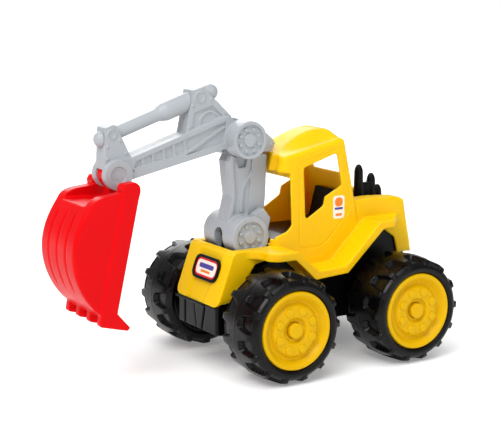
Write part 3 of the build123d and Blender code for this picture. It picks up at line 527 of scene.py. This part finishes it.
# ---------------------------------------------------------------- arm and bucket
BUCKET_GROOVES = (-18.0, 0.0, 18.0)
GROOVE_DEPTH, GROOVE_WIDTH = 0.9, 1.7
MOUTH = ((122.4, 130.6), (146.8, 20.6))   # top and foot of the bucket's mouth, (lengthwise, height)


def groove_bucket(places, normals):
    """Three shallow upright grooves down the bucket's back."""
    x, y, z = from_axle(places)
    back = smoothstep(0.3, 0.5, normals[:, 0]) * smoothstep(160, 168, x)
    reach = smoothstep(36, 50, z) * (1 - smoothstep(106, 116, z))
    depth = sum(GROOVE_DEPTH * np.exp(-(((y - groove) / GROOVE_WIDTH) ** 2)) for groove in BUCKET_GROOVES)
    return places - normals * (back * reach * depth)[:, None]


def bucket_back(places):
    """1 on the bucket's back and cheeks, 0 on its mouth strip, ears and teeth."""
    x, _, z = from_axle(places)
    return smoothstep(18, 22, x - on_line(z, *MOUTH)) * smoothstep(25, 30, z) * smoothstep(122, 116, z)


for half in ("left", "right"):
    for arm in ("boom", "stick"):
        node = f"{arm}_{half}"
        moulded(f"{node}_moulding", [node], arm, GREY, "grey_plastic", 0.36 * COARSE, 2, 0.3)
moulded("ram_moulding", ["ram"], "stick", GREY, "grey_plastic", 0.45 * COARSE, 5, 0.4)
moulded(
    "bucket_moulding", ["bucket"], "bucket", RED, "red_plastic", 0.65 * COARSE, 8, 0.3,
    (relaxed, bucket_back, 60), (reshaped, groove_bucket),
)

# ---------------------------------------------------------------- badge and door labels
def layer(name, outline, origin, across, up, lift, thickness, material, hole=None):
    """A thin flat shape on a surface: outline in mm across and up from origin, raised by lift."""
    outwards = across.cross(up)
    form = bmesh.new()

    def ring(points, height):
        return [form.verts.new(origin + (across * p.x + up * p.y + outwards * height) * MM) for p in points]

    def walls(lower, upper):
        for k in range(len(lower)):
            n = (k + 1) % len(lower)
            form.faces.new((lower[k], lower[n], upper[n], upper[k]))

    low, high = ring(outline, lift), ring(outline, lift + thickness)
    walls(low, high)
    if hole:
        hole_low, hole_high = ring(hole, lift), ring(hole, lift + thickness)
        walls(hole_high, hole_low)
        walls(high, hole_high)
        walls(hole_low, low)
    else:
        form.faces.new(high)
        form.faces.new(low[::-1])
    bmesh.ops.recalc_face_normals(form, faces=form.faces)
    mesh = bpy.data.meshes.new(name)
    form.to_mesh(mesh)
    form.free()
    return add_piece(name, mesh, material, "root")


def block(left, low, right, high, radius=0.0):
    """The outline of a rounded rectangle."""
    return rounded([(left, low, radius), (right, low, radius), (right, high, radius), (left, high, radius)])


def oval(half_width, half_height, radius):
    """The outline of a rounded rectangle about its middle."""
    return block(-half_width, -half_height, half_width, half_height, radius)


LEAN = Vector((-17.5, 0, 48.3)).normalized()   # up the nose's slope
LEFT = Vector((0, 1, 0))
badge_face = centre("badge_plate") + LEFT.cross(LEAN) * 0.5 * MM
rim = layer(
    "badge_frame", oval(22.7, 11.7, 9), badge_face, LEFT, LEAN, -0.2, 1.6, BLACK, oval(19.6, 8.8, 7),
)
soften = rim.modifiers.new("soften", "BEVEL")
soften.width = 0.6 * MM
soften.segments = 3
# each flat layer of the badge: outline, lift, thickness and material
BADGE_LAYERS = {
    "ring": (oval(19.6, 8.8, 7), 0, 0.25, LABEL_RED),
    "field": (oval(17.6, 7.0, 5.5), 0.2, 0.2, LABEL_WHITE),
    "stripe": (block(-13.0, -0.6, 13.0, 3.9, 2.2), 0.35, 0.15, LABEL_BLUE),
    "strip": (block(-8.4, -4.6, 8.4, -2.4, 1.0), 0.35, 0.15, LABEL_ORANGE),
}
for part, (outline, lift, thickness, material) in BADGE_LAYERS.items():
    layer(f"badge_{part}", outline, badge_face, LEFT, LEAN, lift, thickness, material)

LABEL_LAYERS = {
    "sun": (block(-4.6, 0.6, 4.6, 9.6, 4.4), LABEL_ORANGE),
    "bar": (block(-4.8, -2.4, 4.8, -0.2, 0.6), LABEL_BLUE),
    "strip": (block(-3.8, -8.6, 3.8, -6.2, 0.8), LABEL_ORANGE),
}
for half, side in (("left", 1), ("right", -1)):
    label_face = centre(f"door_label_{half}") + Vector((0, side * 0.15 * MM, 0))
    across, upwards = Vector((-side, 0, 0)), Vector((0, 0, 1))
    for part, (outline, material) in LABEL_LAYERS.items():
        layer(f"door_label_{half}_{part}", outline, label_face, across, upwards, 0, 0.12, material)

# ---------------------------------------------------------------- carried-over CAD nodes
CARRIED = (
    (STEEL, ("front_axle", "rear_axle", "axle_nuts", "chassis_screws", "boom_screws", "stick_screws",
             "boom_pin", "stick_pin")),
    (GREY, ("bucket_pin",)),
    (BLACK, ("badge_plate",)),
    (LABEL_WHITE, ("door_label_left", "door_label_right")),
)
for material, names in CARRIED:
    for name in names:
        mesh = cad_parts[name].data
        mesh.materials.clear()
        mesh.materials.append(material)

# ---------------------------------------------------------------- floor, light and camera
FLOOR_HALF = 6.0
FLOOR_GLOW, ROOM_LIGHT = 0.22, 0.34
floor_mesh = bpy.data.meshes.new("floor")
floor_mesh.from_pydata(
    [(a * FLOOR_HALF, b * FLOOR_HALF, 0) for a, b in ((-1, -1), (1, -1), (1, 1), (-1, 1))],
    [], [(0, 1, 2, 3)],
)
floor = bpy.data.objects.new("floor", floor_mesh)
bpy.context.scene.collection.objects.link(floor)
paper = plastic("floor_paper", (0.90, 0.90, 0.90), 0.8, grain=0.02, waviness=0, variation=0.005)
paper_shader = paper.node_tree.nodes["Principled BSDF"]
paper_shader.inputs["Emission Color"].default_value = (1, 1, 1, 1)
paper_shader.inputs["Emission Strength"].default_value = FLOOR_GLOW
floor_mesh.materials.append(paper)


TOY_MIDDLE = Vector((0, 0, 0.15))


def lamp(name, kind, place, power, **settings):
    """A light that shines from place towards the middle of the toy."""
    data = bpy.data.lights.new(name, kind)
    data.energy = power
    for key, value in settings.items():
        setattr(data, key, value)
    piece = bpy.data.objects.new(name, data)
    piece.location = place
    piece.rotation_euler = (TOY_MIDDLE - Vector(place)).to_track_quat("-Z", "Y").to_euler()
    bpy.context.scene.collection.objects.link(piece)


lamp("key_softbox", "AREA", (1.5, 0.9, 1.7), 17, size=0.9)
lamp("side_softbox", "AREA", (-0.3, 2.2, 0.9), 9, size=1.4)
lamp("back_softbox", "AREA", (-0.6, -1.8, 1.1), 16, size=1.2)
lamp("daylight", "SUN", (0.9, 0.5, 2.2), 2.1, angle=1.0)

# the room is white to look at, and gives a dimmer light than it shows
world = bpy.data.worlds.new("studio")
world.use_nodes = True
room, links = world.node_tree.nodes, world.node_tree.links
glow = room["Background"]
glow.inputs["Color"].default_value = (1, 1, 1, 1)
glow.inputs["Strength"].default_value = ROOM_LIGHT
backdrop = room.new("ShaderNodeBackground")
backdrop.inputs["Color"].default_value = (1, 1, 1, 1)
choice = room.new("ShaderNodeMixShader")
links.new(room.new("ShaderNodeLightPath").outputs["Is Camera Ray"], choice.inputs["Fac"])
links.new(glow.outputs["Background"], choice.inputs[1])
links.new(backdrop.outputs["Background"], choice.inputs[2])
links.new(choice.outputs["Shader"], room["World Output"].inputs["Surface"])
bpy.context.scene.world = world
bpy.context.scene.view_settings.view_transform = "Standard"

AZIMUTH, ELEVATION, ROLL = radians(147.936), radians(10.514), radians(0.178)
SENSOR_WIDTH, FOCAL_LENGTH = 36.0, 98.6
AIM = Vector((0.0527, 0.1074, 0.165))
DISTANCE = 1.2065
camera_data = bpy.data.cameras.new("camera")
camera_data.sensor_width = SENSOR_WIDTH
camera_data.lens = FOCAL_LENGTH
camera = bpy.data.objects.new("camera", camera_data)
back = Vector((sin(AZIMUTH) * cos(ELEVATION), -cos(AZIMUTH) * cos(ELEVATION), sin(ELEVATION)))
camera.location = AIM + back * DISTANCE
camera.rotation_euler = (-back).to_track_quat("-Z", "Y").to_euler()
camera.rotation_euler.rotate_axis("Z", ROLL)
bpy.context.scene.collection.objects.link(camera)
bpy.context.scene.camera = camera
